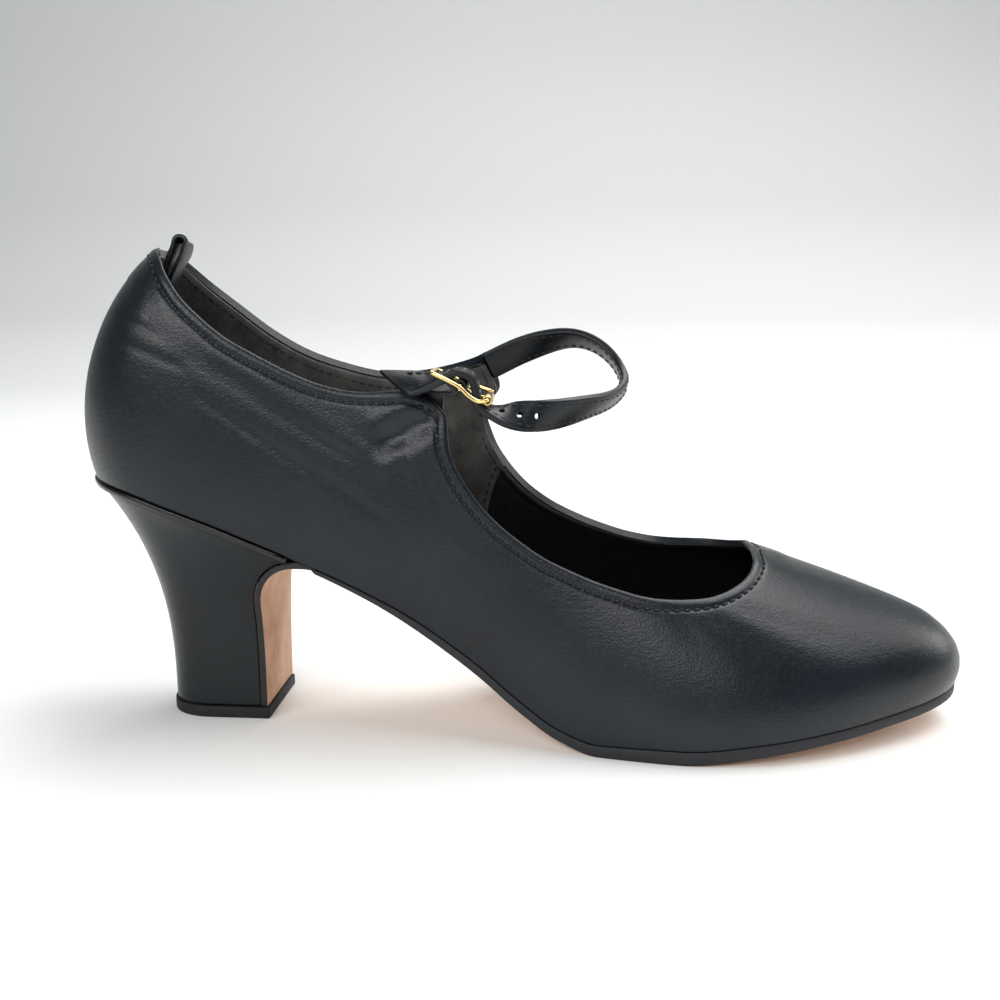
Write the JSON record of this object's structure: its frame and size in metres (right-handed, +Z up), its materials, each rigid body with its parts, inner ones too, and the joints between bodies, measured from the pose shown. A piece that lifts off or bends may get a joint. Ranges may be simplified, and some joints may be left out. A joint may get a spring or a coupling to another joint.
{
  "type": "character shoe",
  "caption": "Character dance shoe with a pump-shaped leather upper, a round toe, a buckled instep strap, a thin leather sole and a curved covered heel.",
  "frame": {"origin": "on the floor under the middle of the shoe's bounding box", "axes": "+X towards the toe, +Y towards the inner side of the foot, +Z up from the floor"},
  "size_m": [0.2446, 0.0778, 0.133],
  "materials": {
    "sole_leather": "natural tan sole leather, matt, with a black edge",
    "heel_cover": "black smooth leather over the heel block, soft sheen",
    "heel_rubber": "black rubber, matt",
    "upper_leather": "black smooth leather, fine grain, soft sheen",
    "sock_lining": "black smooth sock lining, dull",
    "strap_leather": "black smooth leather, edge painted",
    "buckle_metal": "pale gold plating, bright",
    "pull_tab_leather": "black leather strip, dull"
  },
  "bodies": {
    "root": {"outsole": "sole_leather", "heel": "heel_cover", "top_piece": "heel_rubber", "upper": "upper_leather", "insole": "sock_lining", "strap": "strap_leather", "buckle_tab": "strap_leather", "buckle_frame": "buckle_metal", "buckle_roller": "buckle_metal", "buckle_prong": "buckle_metal", "pull_tab": "pull_tab_leather"}
  },
  "joints": []
}
